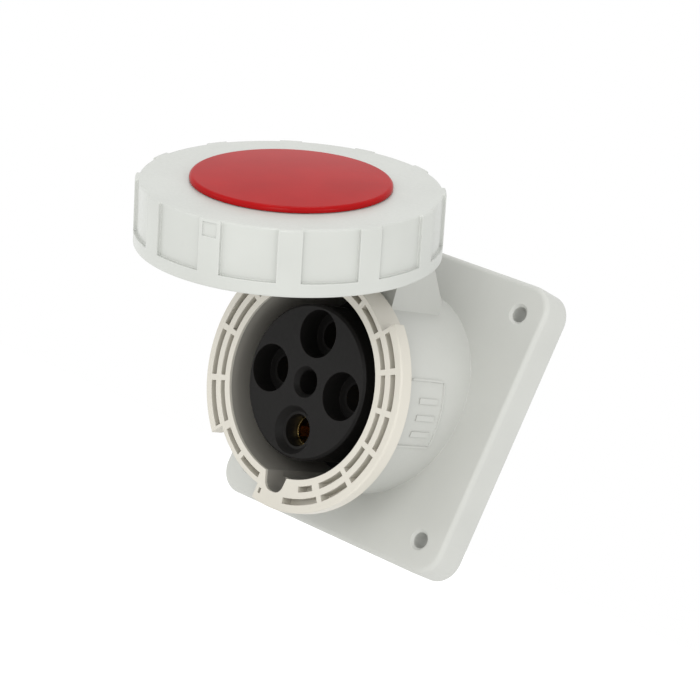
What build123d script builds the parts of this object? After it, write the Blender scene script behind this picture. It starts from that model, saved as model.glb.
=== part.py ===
from build123d import *
import os
from math import asin, atan2, cos, degrees, hypot, radians, sin

# Angled panel-mounting pin-and-sleeve socket: a square flange carries a tilted barrel with a
# bayonet collar, a contact carrier with five sleeves and a hinged lid with a turning ring.
#
# Row frame: +Z up, +X to the right of someone facing the socket, and the socket looks towards
# -Y. The origin is the centre of the flange's rear face. Most pieces are drawn in the socket's
# own frame: x as in the row frame, y up across the mouth, z out along the tilted axis, with
# z = 0 at the rim. The lid is drawn closed in that frame and then swung open about its pin.

# ---- Driving dimensions (mm, degrees) ----
FLANGE_SIDE = 114.0
FLANGE_DEPTH = 12.8
FLANGE_CORNER = 10.0
FLANGE_WALL = 8.5
FACE_THICKNESS = 3.6
HOLE_PITCH = 90.0
HOLE_RADIUS = 3.0
BOSS_RADIUS = 6.5
GASKET_SIDE = 108.6
GASKET_DEPTH = 2.2
GASKET_WIDTH = 3.2

TILT = 13.5
RIM_CENTRE = (0, -56.7, -9.8)
MOUTH_RADIUS = 35.75
BARREL_OUTER = 39.7
BARREL_INNER = 37.2
BARREL_FRONT = -7.0
LEDGE_FRONT = -44.0
LEDGE_REAR = -47.0
LEDGE_RADIUS = 32.5

COLLAR_TUBE = 42.0
COLLAR_LENGTH = 12.0
BAYONET_RADIUS = 48.0
BAYONET_THICKNESS = 6.0
BAYONET_SEGMENTS = ((-100.5, 42), (83, 220))
LIP_THICKNESS = 1.2
KEY_HALF_WIDTH = 5.4
KEY_DEPTH_RADIUS = 42.0
KEY_TAPER = 14.0
KEY_CORNER = 4.0
KEY_WALL = 1.0
GROOVE_RADIUS = 37.5
GROOVE_WALL = 0.7
GROOVE_END = -38.0

SLEEVE_WALL = 1.35
CARRIER_RADIUS = 28.65
CARRIER_RECESS = 2.5
CARRIER_BASE_FRONT = -40.0
CONTACT_CIRCLE = 18.27
PHASE_FRONT = -20.0
EARTH_FRONT = -11.0
PILOT_FRONT = -20.0
PHASE_BORE = 4.05
EARTH_BORE = 5.05
PILOT_BORE = 3.05
NOSE_LENGTH = 1.0
SPRING_SETBACK = 6.0
LIP_OVERLAP = 0.6
TERMINAL_REAR = -51.0
TERMINAL_SCREW_HEIGHT = -47.8

HINGE_UP = 50.2
HINGE_BACK = -26.7
PIN_RADIUS = 2.0
KNUCKLE_RADIUS = 5.0
HINGE_BOSS_RADIUS = 5.4
CHEEK_HALF_WIDTH = 20.0
ARM_HALF_WIDTH = 8.9
SLOT_HALF_WIDTH = 9.8
LID_OPEN_ANGLE = 73.5

RING_RADIUS = 54.8
RING_WALL = 3.2
RING_HEIGHT = 23.8
RING_OVERLAP = 14.0
RING_PLATE = 3.5
RING_HOLE = 34.0
RIB_COUNT = 12
FIRST_RIB_ANGLE = 16.0
RIB_ANGLE = 8.8
PANEL_DEPTH = 1.2
PANEL_FLOOR = 5.0
LUG_CENTRES = (62.5, 242.5)
LUG_ANGLE = 28.0
LUG_RADIUS = 45.0
RING_CUTOUT = (78.5, 146.5)

CAP_RADIUS = 42.5
CAP_REAR = 1.4
CAP_FRONT = 5.4
HUB_RADIUS = 33.6
DISC_RADIUS = 36.0
DISC_PROUD = 2.2
DISC_DOME = 0.9

SEAM_TURN = 17.0  # round faces start at this angle, away from the planes of symmetry

# ---- Derived places ----
SEAT = Plane(
    origin=RIM_CENTRE,
    x_dir=(1, 0, 0),
    z_dir=(0, -cos(radians(TILT)), -sin(radians(TILT))),
).location
HINGE_POINT = (SEAT * Pos(0, HINGE_UP, HINGE_BACK)).position
RING_TOP = RING_HEIGHT - RING_OVERLAP
LID_SEAT = Pos(*HINGE_POINT) * Rot(-LID_OPEN_ANGLE, 0, 0) * Pos(*(-HINGE_POINT)) * SEAT
CONTACT_SPOTS = {
    "contact_l1": (-CONTACT_CIRCLE, 0),
    "contact_l2": (0, CONTACT_CIRCLE),
    "contact_l3": (CONTACT_CIRCLE, 0),
    "contact_earth": (0, -CONTACT_CIRCLE),
}


# ---- Shape helpers, all in the socket's own frame ----
def rod(radius, z_low, z_high, x=0.0, y=0.0):
    """A cylinder along the axis between two heights."""
    shape = Cylinder(radius, z_high - z_low, align=(Align.CENTER, Align.CENTER, Align.MIN))
    return Pos(x, y, z_low) * Rot(0, 0, SEAM_TURN) * shape


def tube(outer, inner, z_low, z_high, x=0.0, y=0.0):
    """A hollow cylinder along the axis."""
    return rod(outer, z_low, z_high, x, y) - rod(inner, z_low - 1, z_high + 1, x, y)


def cone(low_radius, high_radius, z_low, z_high, x=0.0, y=0.0):
    """A cone frustum along the axis."""
    height = z_high - z_low
    shape = Cone(low_radius, high_radius, height, align=(Align.CENTER, Align.CENTER, Align.MIN))
    return Pos(x, y, z_low) * Rot(0, 0, SEAM_TURN) * shape


def ring_sector(inner, outer, start, end, z_low, z_high):
    """A block bounded by two radii, two angles and two heights."""
    outline = Curve()
    for radius in (inner, outer):
        outline += CenterArc((0, 0), radius, start, end - start)
    for angle in (start, end):
        away = (cos(radians(angle)), sin(radians(angle)))
        outline += Line((inner * away[0], inner * away[1]), (outer * away[0], outer * away[1]))
    return Pos(0, 0, z_low) * extrude(make_face(outline), z_high - z_low)


def key_prism(margin, z_low, z_high):
    """The keyway at the bottom of the mouth: it narrows downwards, with round bottom corners."""
    top = MOUTH_RADIUS - 3
    bottom = KEY_DEPTH_RADIUS + margin
    narrowing = (bottom - MOUTH_RADIUS) * sin(radians(KEY_TAPER)) / cos(radians(KEY_TAPER))
    spread = 3 * sin(radians(KEY_TAPER)) / cos(radians(KEY_TAPER))
    wide = KEY_HALF_WIDTH + margin + spread
    narrow = KEY_HALF_WIDTH + margin - narrowing
    outline = Polyline((-wide, -top), (wide, -top), (narrow, -bottom), (-narrow, -bottom), close=True)
    prism = Pos(0, 0, z_low) * extrude(make_face(outline), z_high - z_low)
    low_edges = prism.edges().filter_by(Axis.Z).sort_by(Axis.Y)[:2]
    return fillet(low_edges, KEY_CORNER + margin)


def key_groove(margin, z_low, z_high):
    """The keyway's shallower run behind the collar, with a flat floor."""
    top = MOUTH_RADIUS - 6
    size = (2 * (KEY_HALF_WIDTH + margin), GROOVE_RADIUS + margin - top, z_high - z_low)
    return Pos(0, -top, z_low) * Box(*size, align=(Align.CENTER, Align.MAX, Align.MIN))


def cross_rod(radius, x_low, x_high, up, out):
    """A cylinder along X."""
    shape = Cylinder(radius, x_high - x_low, rotation=(0, 90, 0))
    return Pos((x_low + x_high) / 2, up, out) * shape


def side_prism(points, half_width):
    """A polygon of (up, out) points, extruded both ways along X."""
    outline = Polyline(*points, close=True)
    return extrude(Plane.YZ * make_face(outline), half_width, both=True)


def tangent_point(point, centre, radius, side):
    """Where a line from point touches a circle, on the side given by +1 or -1."""
    away = (point[0] - centre[0], point[1] - centre[1])
    distance = hypot(*away)
    angle = degrees(atan2(away[1], away[0])) + side * (90 - degrees(asin(radius / distance)))
    return (centre[0] + radius * cos(radians(angle)), centre[1] + radius * sin(radians(angle)))


def rounded_slab(side, corner, y_low, y_high):
    """A square slab with round corners across the row frame's Y axis."""
    face = Plane.XZ * RectangleRounded(side, side, corner)
    return Pos(0, y_high, 0) * extrude(face, y_high - y_low)


def y_rod(radius, y_low, y_high, x, z):
    """A cylinder along the row frame's Y axis."""
    return Pos(x, (y_low + y_high) / 2, z) * Cylinder(radius, y_high - y_low, rotation=(90, 0, 0))


def hole_spots():
    """The four fixing holes, as (x, z)."""
    half = HOLE_PITCH / 2
    return [(x, z) for x in (-half, half) for z in (-half, half)]


# ---- Housing ----
def hinge_block():
    """Two cheeks that stand on the barrel and hold the lid's pin."""
    pin = (HINGE_UP, HINGE_BACK)
    front = (43.5, -15.0)
    rear = (39.0, -41.9)
    points = [
        (30, front[1]),
        front,
        tangent_point(front, pin, HINGE_BOSS_RADIUS, -1),
        pin,
        tangent_point(rear, pin, HINGE_BOSS_RADIUS, 1),
        rear,
        (30, rear[1]),
    ]
    block = side_prism(points, CHEEK_HALF_WIDTH)
    block += cross_rod(HINGE_BOSS_RADIUS, -CHEEK_HALF_WIDTH, CHEEK_HALF_WIDTH, *pin)
    slot_floor = HINGE_UP - KNUCKLE_RADIUS - 0.8
    slot = Box(2 * SLOT_HALF_WIDTH, 20, 40, align=(Align.CENTER, Align.MIN, Align.CENTER))
    return block - Pos(0, slot_floor, HINGE_BACK) * slot


def barrel_label():
    """A raised outline with three plain bars on the barrel's right side."""
    skin = BARREL_OUTER + 0.5
    low, high, back, front = -17.5, 20.0, -34.0, -14.5
    frame = ring_sector(BARREL_OUTER - 1, skin, low, high, back, front)
    frame = fillet(frame.edges().filter_by(GeomType.LINE).sort_by(Edge.length)[:4], 2.5)
    frame -= ring_sector(BARREL_OUTER - 2, skin + 1, low + 1.2, high - 1.2, back + 0.8, front - 0.8)
    for start in (-11.0, -2.0, 7.0):
        frame += ring_sector(BARREL_OUTER - 1, skin, start, start + 3.0, back + 3.5, front - 6.0)
    return frame


def flange():
    """The square front plate with its outer wall, screw bosses and stiffening ribs."""
    body = rounded_slab(FLANGE_SIDE, FLANGE_CORNER, -FLANGE_DEPTH, 0)
    front_edges = body.faces().sort_by(Axis.Y)[0].edges()
    body = fillet(front_edges, 2.0)
    pocket_side = FLANGE_SIDE - 2 * FLANGE_WALL
    body -= rounded_slab(pocket_side, 4.0, -FLANGE_DEPTH + FACE_THICKNESS, 1)
    reach = HOLE_PITCH / 2
    for x, z in hole_spots():
        body += y_rod(BOSS_RADIUS, -FLANGE_DEPTH + 1, 0, x, z)
    rib = Box(2 * reach * 1.41, FLANGE_DEPTH - 2.0, 2.2)
    straight_rib = Box(pocket_side + 2, FLANGE_DEPTH - 2.0, 2.2)
    for turn in (45, 135):
        body += Pos(0, -FLANGE_DEPTH / 2, 0) * Rot(0, turn, 0) * rib
    for turn in (0, 90):
        body += Pos(0, -FLANGE_DEPTH / 2, 0) * Rot(0, turn, 0) * straight_rib
    gap = 0.1
    groove = rounded_slab(GASKET_SIDE + 2 * gap, 7.3 + gap, -GASKET_DEPTH, 1)
    groove -= rounded_slab(GASKET_SIDE - 2 * (GASKET_WIDTH + gap), 4.1 - gap, -GASKET_DEPTH - 1, 2)
    return body - groove


def housing():
    """Flange, tilted barrel and hinge block, moulded as one."""
    behind = Pos(0, 50, 0) * Box(300, 100, 300)
    barrel = rod(BARREL_OUTER, -80, BARREL_FRONT) + hinge_block() + barrel_label()
    body = flange() + (SEAT * barrel - behind)
    bore = rod(BARREL_INNER, LEDGE_FRONT, 5) + rod(BARREL_INNER, -90, LEDGE_REAR)
    bore += rod(LEDGE_RADIUS, -90, 5)
    bore += key_prism(KEY_WALL + 0.2, -COLLAR_LENGTH - 0.2, 0)
    bore += key_groove(GROOVE_WALL + 0.1, GROOVE_END - GROOVE_WALL - 0.1, BARREL_FRONT + 1)
    for x, y in retainer_spots():
        bore += rod(1.7, -60, 0, x, y)
    bore += cross_rod(PIN_RADIUS, -CHEEK_HALF_WIDTH - 1, CHEEK_HALF_WIDTH - 4, HINGE_UP, HINGE_BACK)
    body -= SEAT * bore
    for x, z in hole_spots():
        body -= y_rod(HOLE_RADIUS, -20, 5, x, z)
        flare = Cone(HOLE_RADIUS, HOLE_RADIUS + 1.0, 1.0, rotation=(90, 0, 0))
        body -= Pos(x, -FLANGE_DEPTH + 0.45, z) * flare
    return body


def flange_gasket():
    """The square seal that lies in the groove of the flange's rear face."""
    ring = rounded_slab(GASKET_SIDE, 7.3, -GASKET_DEPTH, 0)
    return ring - rounded_slab(GASKET_SIDE - 2 * GASKET_WIDTH, 4.1, -GASKET_DEPTH - 1, 1)


# ---- Collar and sleeve ----
def collar_slots():
    """Mould pockets in the collar's face: an inner row, and an outer row in the segments."""
    pockets = []
    web = 1.5
    inner_runs = [(-58.6, 81.4, 20.0), (92.5, 220.0, 25.5), (221.5, 259.5, 19.0)]
    outer_runs = [(-58.6, 41.4, 20.0), (92.5, 220.0, 25.5)]
    for runs, radii, depth in ((inner_runs, (38.2, 40.3), 4.8), (outer_runs, (42.7, 45.0), 4.8)):
        for first, last, pitch in runs:
            for index in range(round((last - first) / pitch)):
                start = first + index * pitch + web
                end = first + (index + 1) * pitch - web
                pockets.append(ring_sector(*radii, start, end, -depth, 1))
    pockets.append(ring_sector(38.2, 40.3, -72, -62, -4.8, 1))
    pockets.append(ring_sector(42.7, 45.0, -82, -60, -4.8, 1))
    pockets.append(ring_sector(42.9, 45.0, -98.6, -97.0, -4.0, 1))
    return pockets


def bayonet_collar():
    """The mouth's rim: a short tube with two flange segments that the lid's lugs hook behind."""
    body = rod(COLLAR_TUBE, -COLLAR_LENGTH, 0)
    for start, end in BAYONET_SEGMENTS:
        segment = ring_sector(COLLAR_TUBE - 3, BAYONET_RADIUS, start, end, -BAYONET_THICKNESS, 0)
        body += segment
    body += ring_sector(COLLAR_TUBE - 3, 45.0, 261, 279, -COLLAR_LENGTH, -BAYONET_THICKNESS)
    rim_edges = body.edges().filter_by(GeomType.CIRCLE)
    rim_edges = [e for e in rim_edges if abs(e.radius - BAYONET_RADIUS) < 0.01]
    body = fillet(rim_edges, 0.8)
    body -= rod(MOUTH_RADIUS, -5, 1)
    body -= rod(MOUTH_RADIUS + SLEEVE_WALL + 0.05, -20, -LIP_THICKNESS)
    body -= rod(BARREL_OUTER + 0.05, -20, BARREL_FRONT)
    body -= tube(39.3, 37.8, BARREL_FRONT - 0.1, BARREL_FRONT + 1.0)
    body -= key_prism(0, -5, 1)
    body -= key_prism(KEY_WALL + 0.1, -20, -LIP_THICKNESS)
    for pocket in collar_slots():
        body -= pocket
    return body


def collar_seal():
    """A flat ring between the barrel's end and the collar."""
    seal = tube(39.25, 37.85, BARREL_FRONT, BARREL_FRONT + 0.95)
    return seal - key_prism(KEY_WALL + 0.2, -10, 0)


def shroud_sleeve():
    """The grey lining of the mouth, with the keyway's pocket at its bottom."""
    front = -LIP_THICKNESS - 0.05
    outer = MOUTH_RADIUS + SLEEVE_WALL
    body = rod(outer, CARRIER_BASE_FRONT, front)
    body += key_prism(KEY_WALL, -COLLAR_LENGTH, front)
    body += key_groove(GROOVE_WALL, GROOVE_END - GROOVE_WALL, -COLLAR_LENGTH + KEY_WALL)
    body -= rod(MOUTH_RADIUS, CARRIER_BASE_FRONT - 1, 1)
    body -= key_groove(0, GROOVE_END, -COLLAR_LENGTH + 2 * KEY_WALL)
    return body - key_prism(0, -COLLAR_LENGTH + KEY_WALL, 1)


# ---- Contacts ----
def pin_sleeve(x, y, front, outer, nose, bore):
    """A turned sleeve from its terminal to a narrower nose that the carrier's lip guides."""
    body = rod(outer, CARRIER_BASE_FRONT - 4.5, front - NOSE_LENGTH, x, y)
    body += rod(nose, front - NOSE_LENGTH - 0.5, front, x, y)
    return body - rod(bore, -38, 0, x, y)


def power_contact(x, y, front, outer, nose, bore, slit):
    """A slotted sleeve with its clamp terminal behind the carrier."""
    body = pin_sleeve(x, y, front, outer, nose, bore)
    body += rod(6.5, TERMINAL_REAR, CARRIER_BASE_FRONT - 4.5, x, y)
    body -= rod(3.6, -60, CARRIER_BASE_FRONT - 2.5, x, y)
    body -= slots(x, y, front, slit, outer + 1.0)
    return body - terminal_bore(x, y, 2.0)


def phase_contact(x, y):
    """The sleeve for an 8 mm phase pin."""
    return power_contact(x, y, PHASE_FRONT, 6.0, 5.0, PHASE_BORE, 9.0)


def earth_contact(x, y):
    """The sleeve for the 10 mm earth pin, standing further forward so that it makes first."""
    return power_contact(x, y, EARTH_FRONT, 7.0, 5.9, EARTH_BORE, 13.0)


def pilot_contact():
    """The small centre sleeve for a 6 mm pin."""
    body = pin_sleeve(0, 0, PILOT_FRONT, 4.5, 3.7, PILOT_BORE)
    body += rod(4.5, TERMINAL_REAR, CARRIER_BASE_FRONT - 4.5)
    body -= rod(2.2, -60, CARRIER_BASE_FRONT - 2.5)
    return body - Pos(0, 0, -48) * Rot(0, 0, 45) * Rot(0, 90, 0) * rod(1.25, 0, 10)


def slots(x, y, front, length, reach):
    """Two crossing saw cuts that let a sleeve spring onto its pin."""
    blades = Box(0.8, 2 * reach, length) + Box(2 * reach, 0.8, length)
    return Pos(x, y, front - length / 2) * Rot(0, 0, 45) * blades


def terminal_bore(x, y, radius):
    """The clamp screw's hole, from the sleeve's axis outwards."""
    turn = degrees(atan2(y, x))
    return Pos(x, y, TERMINAL_SCREW_HEIGHT) * Rot(0, 0, turn) * Rot(0, 90, 0) * rod(radius, 0, 10)


def clamp_screw(x, y, height, turn, start, shank, head, bite, head_length):
    """A cheese-head clamp screw that points at a sleeve's axis from outside."""
    body = rod(shank, start - bite, start)
    body += rod(head, start, start + head_length)
    body -= Pos(0, 0, start + head_length) * Box(0.9, 2 * head + 1, 1.8)
    return Pos(x, y, height) * Rot(0, 0, turn) * Rot(0, 90, 0) * body


def terminal_screws():
    """The four clamp screws of the power and earth terminals."""
    screws = []
    for x, y in CONTACT_SPOTS.values():
        turn = degrees(atan2(y, x))
        screws.append(clamp_screw(x, y, TERMINAL_SCREW_HEIGHT, turn, 7.0, 1.95, 3.1, 4.6, 2.6))
    return Compound(screws)


def pilot_terminal_screw():
    """The clamp screw of the pilot terminal."""
    return clamp_screw(0, 0, -48.0, 45, 5.2, 1.2, 2.2, 3.0, 1.8)


def contact_springs():
    """Steel rings that close the slotted sleeves onto their pins."""
    rings = []
    for name, (x, y) in CONTACT_SPOTS.items():
        earth = name == "contact_earth"
        inner = 7.0 if earth else 6.0
        back = (EARTH_FRONT if earth else PHASE_FRONT) - SPRING_SETBACK
        ring = tube(inner + 0.9, inner, back, back + 3.0, x, y)
        rings.append(ring - Pos(x, y + inner, back + 1.5) * Box(1.4, 3, 4))
    return Compound(rings)


def contact_channel(x, y, front, lip, channel, spring_room):
    """A sleeve's room in the carrier: a guiding lip, the channel and a ring of room for the spring."""
    back = front - SPRING_SETBACK - 0.5
    room = rod(lip, front - 1, 0, x, y) + rod(channel, -60, front - LIP_OVERLAP, x, y)
    return room + rod(spring_room, back, back + 4.0, x, y)


def peg_spots():
    """Four places where pegs on the carrier locate its base plate."""
    return [(22 * cos(radians(t)), 22 * sin(radians(t))) for t in (45, 135, 225, 315)]


def contact_carrier():
    """The insulating body that holds the five sleeves apart, with pegs behind."""
    body = rod(CARRIER_RADIUS, CARRIER_BASE_FRONT, -CARRIER_RECESS)
    body = chamfer(body.faces().sort_by(Axis.Z)[-1].edges(), 0.9)
    for name, (x, y) in CONTACT_SPOTS.items():
        if name == "contact_earth":
            body -= cone(6.9, 9.0, -5.2, -CARRIER_RECESS, x, y)
            body -= contact_channel(x, y, EARTH_FRONT, 6.0, 7.05, 8.1)
        else:
            body -= rod(8.85, -12, 0, x, y)
            body += tube(5.9, 5.1, -12.2, -11.3, x, y)
            body -= contact_channel(x, y, PHASE_FRONT, 5.1, 6.05, 7.1)
    body -= cone(4.5, 5.85, -4.5, -CARRIER_RECESS) + rod(4.5, PILOT_FRONT + 2, 0)
    body -= rod(3.8, -30, 0) + rod(4.55, -60, PILOT_FRONT - LIP_OVERLAP)
    for x, y in peg_spots():
        body += rod(1.6, LEDGE_FRONT + 0.5, CARRIER_BASE_FRONT, x, y)
    return body


def carrier_base():
    """The plate that clamps the sleeves' shoulders, with walls between the terminals."""
    body = rod(BARREL_INNER - 0.1, LEDGE_FRONT, CARRIER_BASE_FRONT)
    for turn in (45, 135, 225, 315):
        wall = Pos(21.5, 0, (TERMINAL_REAR + LEDGE_FRONT) / 2) * Box(17, 2, LEDGE_FRONT - TERMINAL_REAR)
        body += Rot(0, 0, turn) * wall
    for name, (x, y) in CONTACT_SPOTS.items():
        body -= rod(7.05 if name == "contact_earth" else 6.05, -60, 0, x, y)
    body -= rod(4.55, -60, 0)
    for x, y in peg_spots():
        body -= rod(1.7, LEDGE_FRONT, 0, x, y)
    for x, y in retainer_spots():
        body -= rod(1.35, LEDGE_FRONT - 1, CARRIER_BASE_FRONT - 0.6, x, y)
    return body


def retainer_spots():
    """Four screw places on the ledge behind the carrier."""
    return [(34.7 * cos(radians(t)), 34.7 * sin(radians(t))) for t in (45, 135, 225, 315)]


def carrier_screws():
    """Screws that hold the carrier's base against the housing's ledge."""
    screws = []
    for x, y in retainer_spots():
        body = rod(1.3, LEDGE_REAR, CARRIER_BASE_FRONT - 0.8, x, y)
        body += rod(2.3, LEDGE_REAR - 1.6, LEDGE_REAR, x, y)
        body -= Pos(x, y, LEDGE_REAR - 1.6) * Box(0.7, 5, 1.2)
        body -= Pos(x, y, LEDGE_REAR - 1.6) * Box(5, 0.7, 1.2)
        screws.append(body)
    return Compound(screws)


# ---- Hinge ----
def hinge_pin():
    """The steel pin, pushed in from the left into a blind hole on the right."""
    left, right = -CHEEK_HALF_WIDTH + 0.3, CHEEK_HALF_WIDTH - 4.2
    pin = cross_rod(PIN_RADIUS - 0.02, left, right, HINGE_UP, HINGE_BACK)
    return chamfer(pin.faces().sort_by(Axis.X)[0].edges(), 0.4)


def friction_washers():
    """A washer on each side of the lid's knuckle, which holds the lid where it is left."""
    rings = []
    for side in (-1, 1):
        low, high = sorted((side * (ARM_HALF_WIDTH + 0.15), side * (SLOT_HALF_WIDTH - 0.05)))
        ring = cross_rod(4.3, low, high, HINGE_UP, HINGE_BACK)
        rings.append(ring - cross_rod(PIN_RADIUS + 0.05, low - 1, high + 1, HINGE_UP, HINGE_BACK))
    return Compound(rings)


# ---- Lid, drawn closed ----
def lid_arm():
    """The arm from the cap's edge, out through the ring and back to the hinge pin."""
    inner, outer = HINGE_UP - 1.2, HINGE_UP + 4.0
    points = [
        (CAP_RADIUS - 6, CAP_REAR),
        (inner, CAP_REAR),
        (inner, HINGE_BACK),
        (outer, HINGE_BACK),
        (outer, CAP_FRONT - 1.4),
        (outer - 1.4, CAP_FRONT),
        (CAP_RADIUS - 6, CAP_FRONT),
    ]
    arm = side_prism(points, ARM_HALF_WIDTH)
    return arm + cross_rod(KNUCKLE_RADIUS, -ARM_HALF_WIDTH, ARM_HALF_WIDTH, HINGE_UP, HINGE_BACK)


def disc_post_spots():
    """Three places where the cover disc is screwed to the cap."""
    return [(22 * cos(radians(t)), 22 * sin(radians(t))) for t in (90, 210, 330)]


def lid_cap():
    """The inner lid with its seal groove, its hub for the ring and its hinge arm."""
    body = rod(CAP_RADIUS, CAP_REAR, CAP_FRONT)
    body += rod(HUB_RADIUS, CAP_FRONT, RING_TOP + 0.3)
    body += lid_arm()
    body -= cross_rod(PIN_RADIUS + 0.05, -15, 15, HINGE_UP, HINGE_BACK)
    body -= tube(41.2, 36.0, CAP_REAR - 1, CAP_REAR + 1.8)
    roof = RING_TOP - 1.8
    body -= rod(30.5, CAP_REAR - 1, roof)
    for turn in (0, 60, 120):
        wall = Pos(0, 0, (CAP_REAR + 1 + roof) / 2) * Box(62, 1.6, roof - CAP_REAR - 1)
        body += Rot(0, 0, turn) * wall
    for x, y in disc_post_spots():
        body -= rod(5.6, CAP_REAR - 1, roof, x, y)
        body -= rod(3.65, roof - 1, RING_TOP + 1, x, y)
    return body


def lid_gasket():
    """The round seal that meets the collar's rim."""
    profile_rear = 0.35
    body = tube(41.1, 36.1, profile_rear, CAP_REAR + 1.8)
    return fillet(body.faces().sort_by(Axis.Z)[0].edges(), 0.8)


def ring_panels():
    """The flat-bottomed recesses between the ring's grip ribs."""
    panels = []
    pitch = 360 / RIB_COUNT
    low = -RING_OVERLAP + PANEL_FLOOR
    for index in range(RIB_COUNT):
        rib = FIRST_RIB_ANGLE + index * pitch
        start, end = rib + RIB_ANGLE / 2, rib + pitch - RIB_ANGLE / 2
        floor, beyond = RING_RADIUS - PANEL_DEPTH, RING_RADIUS + 5
        panels.append(ring_sector(floor, beyond, start, end, low, RING_TOP + 1))
    return panels


def bayonet_ring():
    """The grip ring: a plate that turns on the cap's hub, a ribbed wall and two lugs."""
    wall_inner = RING_RADIUS - RING_WALL
    body = rod(RING_RADIUS, -RING_OVERLAP, RING_TOP)
    body = fillet(body.faces().sort_by(Axis.Z)[0].edges(), 0.8)
    for panel in ring_panels():
        body -= panel
    body = fillet(body.faces().sort_by(Axis.Z)[-1].edges(), 0.7)
    body -= rod(wall_inner, -RING_OVERLAP - 1, RING_TOP - RING_PLATE)
    body -= rod(RING_HOLE, -RING_OVERLAP - 1, RING_TOP + 1)
    for centre in LUG_CENTRES:
        start, end = centre - LUG_ANGLE / 2, centre + LUG_ANGLE / 2
        body += ring_sector(LUG_RADIUS, wall_inner + 0.5, start, end, -12.5, -6.7)
    inner, outer = LUG_RADIUS - 1, RING_RADIUS + 2
    body -= ring_sector(inner, outer, *RING_CUTOUT, -RING_OVERLAP - 1, RING_TOP - RING_PLATE)
    marker = Rot(0, 0, -74) * Pos(RING_RADIUS, 0, RING_TOP - 3.5) * Box(1.0, 5.5, 5.0)
    return body - marker


def slide_washer():
    """A thin washer between the cap and the turning ring."""
    return tube(41.0, HUB_RADIUS + 0.1, CAP_FRONT, RING_TOP - RING_PLATE - 0.3)


def cover_disc():
    """The domed colour disc that keeps the ring on the hub, with its three posts."""
    low = RING_TOP + 0.3
    edge_top = RING_TOP + DISC_PROUD
    dome_radius = (DISC_RADIUS**2 + DISC_DOME**2) / (2 * DISC_DOME)
    dome = Pos(0, 0, edge_top + DISC_DOME - dome_radius) * Rot(90, 0, 0) * Sphere(dome_radius)
    body = rod(DISC_RADIUS, low, RING_TOP + 8) & dome
    rims = [e for e in body.edges().filter_by(GeomType.CIRCLE) if abs(e.radius - DISC_RADIUS) < 0.01]
    body = fillet(max(rims, key=lambda e: e.center().Z), 1.3)
    for x, y in disc_post_spots():
        body += rod(3.5, RING_TOP - 1.8, low + 0.5, x, y)
        body -= rod(1.5, RING_TOP - 3, low + 1.2, x, y)
    return body


def disc_screws():
    """Screws that clamp the disc's posts to the hub from inside."""
    roof = RING_TOP - 1.8
    screws = []
    for x, y in disc_post_spots():
        body = rod(4.9, roof - 1.8, roof, x, y)
        body = fillet(body.faces().sort_by(Axis.Z)[0].edges(), 0.8)
        body += rod(1.45, roof, RING_TOP + 1.3, x, y)
        body -= Pos(x, y, roof - 1.8) * Box(0.9, 5.6, 1.8)
        body -= Pos(x, y, roof - 1.8) * Box(5.6, 0.9, 1.8)
        screws.append(body)
    return Compound(screws)


# ---- Write each piece ----
def pieces():
    """Every node with its finished shape in the row frame."""
    fixed = {
        "bayonet_collar": bayonet_collar(),
        "collar_seal": collar_seal(),
        "shroud_sleeve": shroud_sleeve(),
        "contact_carrier": contact_carrier(),
        "carrier_base": carrier_base(),
        "contact_earth": earth_contact(*CONTACT_SPOTS["contact_earth"]),
        "contact_pilot": pilot_contact(),
        "contact_springs": contact_springs(),
        "terminal_screws": terminal_screws(),
        "pilot_terminal_screw": pilot_terminal_screw(),
        "carrier_screws": carrier_screws(),
        "hinge_pin": hinge_pin(),
        "friction_washers": friction_washers(),
    }
    for name in ("contact_l1", "contact_l2", "contact_l3"):
        fixed[name] = phase_contact(*CONTACT_SPOTS[name])
    moving = {
        "lid_cap": lid_cap(),
        "lid_gasket": lid_gasket(),
        "bayonet_ring": bayonet_ring(),
        "slide_washer": slide_washer(),
        "cover_disc": cover_disc(),
        "disc_screws": disc_screws(),
    }
    shapes = {"housing": housing(), "flange_gasket": flange_gasket()}
    shapes.update({name: SEAT * shape for name, shape in fixed.items()})
    shapes.update({name: LID_SEAT * shape for name, shape in moving.items()})
    return shapes


os.makedirs("parts", exist_ok=True)
for node, solid in pieces().items():
    export_step(solid, f"parts/{node}.step")
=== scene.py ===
import math

import bpy
from mathutils import Matrix, Vector


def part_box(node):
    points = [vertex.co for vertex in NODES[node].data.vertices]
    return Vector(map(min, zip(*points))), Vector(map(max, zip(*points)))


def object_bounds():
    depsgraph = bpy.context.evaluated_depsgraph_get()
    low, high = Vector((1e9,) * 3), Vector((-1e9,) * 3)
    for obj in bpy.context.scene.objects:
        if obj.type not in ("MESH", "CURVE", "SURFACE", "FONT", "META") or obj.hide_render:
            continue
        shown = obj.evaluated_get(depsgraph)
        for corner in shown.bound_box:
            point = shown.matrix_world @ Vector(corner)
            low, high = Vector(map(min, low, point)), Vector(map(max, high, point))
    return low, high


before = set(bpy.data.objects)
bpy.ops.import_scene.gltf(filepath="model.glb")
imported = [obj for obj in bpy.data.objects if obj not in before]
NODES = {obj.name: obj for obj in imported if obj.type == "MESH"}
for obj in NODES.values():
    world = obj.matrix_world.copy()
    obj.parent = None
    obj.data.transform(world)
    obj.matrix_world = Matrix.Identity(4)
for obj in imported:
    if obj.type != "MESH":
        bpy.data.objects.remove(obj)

CAD_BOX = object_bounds()

# ---- The camera: the lens and the direction from which the object is seen ----
CAMERA_PLACE = Vector((0.6796, -0.8350, -0.0363))
CAMERA_PAN = 40.474
CAMERA_PITCH = 2.450
CAMERA_ROLL = 23.79
CAMERA_LENS = 146.3
SENSOR_WIDTH = 36.0

LID_DIP = 0.012          # how far the shut lid's ring reaches below the flange, with some room
FLOOR_HALF = 4.0

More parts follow.
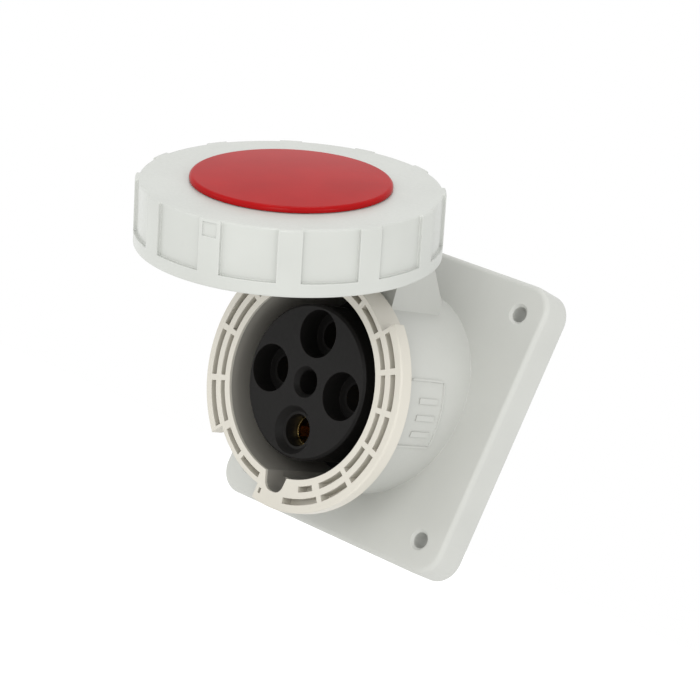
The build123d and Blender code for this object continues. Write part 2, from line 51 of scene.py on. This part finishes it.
# ---- Surface detail: how many spots of each kind lie along a metre ----
CLOUDS = 38.0
SPARK_GRAIN = 900.0
POLISH_MARKS = 1500.0
TARNISH = 240.0
DUST = 160.0
BEVEL_SAMPLES = 6


def add_camera():
    """A long lens at the height of the flange's lower half, rolled as the picture is."""
    data = bpy.data.cameras.new("camera")
    data.lens = CAMERA_LENS
    data.sensor_width = SENSOR_WIDTH
    data.clip_start = 0.05
    data.clip_end = 20.0
    camera = bpy.data.objects.new("camera", data)
    turn = Matrix.Rotation(math.radians(CAMERA_PAN), 4, "Z")
    pitch = Matrix.Rotation(math.radians(90 + CAMERA_PITCH), 4, "X")
    roll = Matrix.Rotation(math.radians(CAMERA_ROLL), 4, "Z")
    camera.matrix_world = Matrix.Translation(CAMERA_PLACE) @ turn @ pitch @ roll
    bpy.context.scene.collection.objects.link(camera)
    bpy.context.scene.camera = camera


# ---- Node helpers ----
class Graph:
    """A material's node tree with a Principled shader, built by short calls."""

    def __init__(self, name):
        self.material = bpy.data.materials.new(name)
        self.material.use_nodes = True
        self.tree = self.material.node_tree
        self.shader = self.tree.nodes["Principled BSDF"]
        coordinates = self.node("ShaderNodeTexCoord")
        self.place = coordinates.outputs["Object"]

    def node(self, kind, **settings):
        made = self.tree.nodes.new(kind)
        for key, value in settings.items():
            setattr(made, key, value)
        return made

    def link(self, source, target):
        self.tree.links.new(source, target)

    def noise(self, scale, detail=2.0, roughness=0.5, place=None):
        made = self.node("ShaderNodeTexNoise")
        made.inputs["Scale"].default_value = scale
        made.inputs["Detail"].default_value = detail
        made.inputs["Roughness"].default_value = roughness
        self.link(place or self.place, made.inputs["Vector"])
        return made.outputs["Fac"]

    def ramp(self, source, low, high, from_low=0.3, from_high=0.7):
        made = self.node("ShaderNodeMapRange")
        made.inputs["From Min"].default_value = from_low
        made.inputs["From Max"].default_value = from_high
        made.inputs["To Min"].default_value = low
        made.inputs["To Max"].default_value = high
        self.link(source, made.inputs["Value"])
        return made.outputs["Result"]

    def mix(self, factor, first, second):
        """A colour between two colours; either may be a socket."""
        made = self.node("ShaderNodeMix", data_type="RGBA")
        self.link(factor, made.inputs["Factor"])
        for value, key in ((first, 6), (second, 7)):
            if isinstance(value, bpy.types.NodeSocket):
                self.link(value, made.inputs[key])
            else:
                made.inputs[key].default_value = (*value, 1.0)
        return made.outputs[2]

    def math(self, operation, first, second):
        made = self.node("ShaderNodeMath", operation=operation)
        for index, value in enumerate((first, second)):
            if isinstance(value, bpy.types.NodeSocket):
                self.link(value, made.inputs[index])
            else:
                made.inputs[index].default_value = value
        return made.outputs[0]

    def bump(self, height, distance, strength=1.0, normal=None):
        made = self.node("ShaderNodeBump")
        made.inputs["Distance"].default_value = distance
        made.inputs["Strength"].default_value = strength
        self.link(height, made.inputs["Height"])
        if normal:
            self.link(normal, made.inputs["Normal"])
        return made.outputs["Normal"]

    def soft_edges(self, radius):
        """A normal that rounds sharp moulded edges by a small radius."""
        made = self.node("ShaderNodeBevel")
        made.samples = BEVEL_SAMPLES
        made.inputs["Radius"].default_value = radius
        return made.outputs["Normal"]

    def edge_highlight_mask(self, width):
        """Near 1 along edges and 0 on flat faces, from how far the rounded normal has turned; it masks the
        painted edge highlight.
        """
        rounded = self.soft_edges(width)
        geometry = self.node("ShaderNodeNewGeometry")
        dot = self.node("ShaderNodeVectorMath", operation="DOT_PRODUCT")
        self.link(rounded, dot.inputs[0])
        self.link(geometry.outputs["Normal"], dot.inputs[1])
        return self.ramp(dot.outputs["Value"], 1.0, 0.0, 0.80, 0.995)

    def set(self, **values):
        for key, value in values.items():
            self.shader.inputs[key.replace("_", " ")].default_value = value


def srgb(red, green, blue):
    """Display values of 0 to 255 as scene-linear colour."""
    def linear(value):
        share = value / 255
        return share / 12.92 if share <= 0.04045 else ((share + 0.055) / 1.055) ** 2.4

    return (linear(red), linear(green), linear(blue))


def paint(graph, *names):
    """Gives a finished material to CAD nodes."""
    for name in names:
        slots = NODES[name].data.materials
        slots.clear()
        slots.append(graph.material)


# ---- Materials ----
def moulded(name, colour, roughness, grain=0.00003, edge=0.0003, edge_highlight_gain=1.06, sheen=0.5):
    """Injection-moulded plastic: a fine spark-eroded grain, faint clouding and a painted highlight that
    makes the edges lighter.
    """
    graph = Graph(name)
    clouds = graph.noise(CLOUDS, 3.0)
    fine = graph.noise(SPARK_GRAIN, 2.0)
    dark = tuple(channel * 0.965 for channel in colour)
    light = tuple(min(1.0, channel * 1.02) for channel in colour)
    body = graph.mix(graph.ramp(clouds, 0.0, 1.0), dark, light)
    # Painted highlight: the edges get a lighter copy of the colour, scaled by the edge factor.
    edge_highlight_colour = tuple(min(1.0, channel * edge_highlight_gain) for channel in colour)
    graph.link(graph.mix(graph.edge_highlight_mask(edge * 1.5), body, edge_highlight_colour), graph.shader.inputs["Base Color"])
    graph.link(graph.ramp(fine, roughness - 0.06, roughness + 0.07), graph.shader.inputs["Roughness"])
    rounded = graph.soft_edges(edge)
    graph.link(graph.bump(fine, grain, 0.5, rounded), graph.shader.inputs["Normal"])
    graph.set(IOR=1.5)
    graph.shader.inputs["Specular IOR Level"].default_value = sheen
    return graph


def glossy_red():
    """Polished signal-red plastic with a clear surface and faint flow marks."""
    graph = Graph("glossy_red")
    clouds = graph.noise(55.0, 2.0)
    fine = graph.noise(POLISH_MARKS, 2.0)
    body = graph.mix(graph.ramp(clouds, 0.0, 1.0), srgb(150, 14, 16), srgb(159, 17, 19))
    graph.link(body, graph.shader.inputs["Base Color"])
    graph.link(graph.ramp(fine, 0.1, 0.16), graph.shader.inputs["Roughness"])
    graph.link(graph.bump(fine, 0.000004, 0.4), graph.shader.inputs["Normal"])
    graph.set(IOR=1.4, Coat_Weight=0.1, Coat_Roughness=0.03)
    graph.shader.inputs["Specular IOR Level"].default_value = 0.03
    return graph


def metal(name, colour, roughness, stretch):
    """Turned or drawn metal: fine lines along one direction and slight tarnish."""
    graph = Graph(name)
    mapping = graph.node("ShaderNodeMapping")
    mapping.inputs["Scale"].default_value = stretch
    graph.link(graph.place, mapping.inputs["Vector"])
    lines = graph.noise(1.0, 3.0, 0.6, mapping.outputs["Vector"])
    tarnish = graph.noise(TARNISH, 3.0)
    dull = tuple(channel * 0.72 for channel in colour)
    graph.link(graph.mix(graph.ramp(tarnish, 0.0, 1.0), dull, colour), graph.shader.inputs["Base Color"])
    graph.link(graph.ramp(lines, roughness - 0.08, roughness + 0.1), graph.shader.inputs["Roughness"])
    graph.link(graph.bump(lines, 0.00001, 0.5, graph.soft_edges(0.00015)), graph.shader.inputs["Normal"])
    graph.set(Metallic=1.0)
    return graph


def rubber():
    """Matt black seal rubber with a dusty bloom."""
    graph = Graph("seal_rubber")
    bloom = graph.noise(DUST, 4.0, 0.6)
    fine = graph.noise(1800.0, 2.0)
    body = graph.mix(graph.ramp(bloom, 0.0, 1.0), srgb(30, 30, 30), srgb(46, 45, 44))
    graph.link(body, graph.shader.inputs["Base Color"])
    graph.link(graph.ramp(fine, 0.62, 0.8), graph.shader.inputs["Roughness"])
    graph.link(graph.bump(fine, 0.00003, 0.6), graph.shader.inputs["Normal"])
    return graph


def add_materials():
    """One finished material for each kind of piece."""
    # Each call's edge factor sets how much lighter that material's edges are painted, as a highlight.
    paint(moulded("housing_grey", srgb(185, 186, 181), 0.48, edge_highlight_gain=1.12), "housing")
    paint(moulded("collar_ivory", srgb(199, 195, 184), 0.36, grain=0.00002, edge_highlight_gain=1.1), "bayonet_collar")
    paint(moulded("ring_white", srgb(184, 186, 181), 0.34, edge=0.0006, edge_highlight_gain=1.22), "bayonet_ring")
    paint(moulded("cap_grey", srgb(188, 188, 184), 0.48), "lid_cap")
    paint(moulded("liner_grey", srgb(138, 135, 128), 0.4), "shroud_sleeve")
    carrier = moulded("carrier_black", srgb(20, 19, 18), 0.5, edge_highlight_gain=1.9, sheen=0.14)
    paint(carrier, "contact_carrier", "carrier_base")
    paint(moulded("washer_plastic", srgb(236, 236, 230), 0.35), "slide_washer")
    paint(glossy_red(), "cover_disc")
    paint(rubber(), "flange_gasket", "collar_seal", "lid_gasket")
    brass = metal("contact_brass", srgb(222, 192, 124), 0.16, (900.0, 90.0, 900.0))
    paint(brass, "contact_l1", "contact_l2", "contact_l3", "contact_earth", "contact_pilot")
    paint(metal("spring_steel", srgb(176, 177, 180), 0.32, (900.0, 900.0, 900.0)), "contact_springs")
    screws = metal("screw_steel", srgb(184, 184, 182), 0.34, (500.0, 500.0, 500.0))
    paint(screws, "terminal_screws", "pilot_terminal_screw", "carrier_screws", "disc_screws")
    pin = metal("pin_steel", srgb(178, 178, 178), 0.3, (60.0, 1200.0, 1200.0))
    paint(pin, "hinge_pin", "friction_washers")


# ---- Floor, world and lights ----
def add_floor():
    """A plain pale floor, just below the lowest point that the lid's ring reaches."""
    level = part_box("housing")[0].z - LID_DIP
    around = ((-1, -1), (1, -1), (1, 1), (-1, 1))
    corners = [(x * FLOOR_HALF, y * FLOOR_HALF, level) for x, y in around]
    mesh = bpy.data.meshes.new("floor")
    mesh.from_pydata(corners, [], [(0, 1, 2, 3)])
    floor = bpy.data.objects.new("floor", mesh)
    bpy.context.scene.collection.objects.link(floor)
    graph = Graph("floor_white")
    clouds = graph.noise(3.0, 2.0)
    graph.link(graph.mix(clouds, (0.38, 0.38, 0.38), (0.40, 0.40, 0.40)), graph.shader.inputs["Base Color"])
    graph.set(Roughness=0.9, Emission_Strength=0.8)
    graph.shader.inputs["Emission Color"].default_value = (1.0, 1.0, 1.0, 1.0)
    graph.shader.inputs["Specular IOR Level"].default_value = 0.0
    mesh.materials.append(graph.material)


def add_world(strength):
    """An even white surround."""
    world = bpy.data.worlds.new("studio")
    world.use_nodes = True
    background = world.node_tree.nodes["Background"]
    background.inputs["Color"].default_value = (1.0, 1.0, 1.0, 1.0)
    background.inputs["Strength"].default_value = strength
    bpy.context.scene.world = world


def add_softbox(name, place, aim, size, power):
    """A square area light that looks at a point."""
    data = bpy.data.lights.new(name, "AREA")
    data.shape = "SQUARE"
    data.size = size
    data.energy = power
    light = bpy.data.objects.new(name, data)
    light.location = place
    light.rotation_euler = (Vector(aim) - Vector(place)).to_track_quat("-Z", "Y").to_euler()
    bpy.context.scene.collection.objects.link(light)


def add_lights():
    """A large key from the upper left front, a weaker one from the right and a low fill."""
    low, high = CAD_BOX
    middle = (Vector(low) + Vector(high)) / 2
    add_softbox("key", (-0.4, -0.6, 1.9), middle, 0.8, 6.0)
    add_softbox("side", (0.75, -1.5, 0.15), middle, 0.6, 8.0)
    add_softbox("fill", (-0.9, -1.3, 0.15), middle, 0.7, 1.5)
    add_softbox("edge", (1.5, -0.4, 0.5), middle, 0.6, 3.0)


bpy.context.scene.view_settings.view_transform = "Standard"
add_camera()
add_world(1.0)
add_floor()
add_lights()
add_materials()
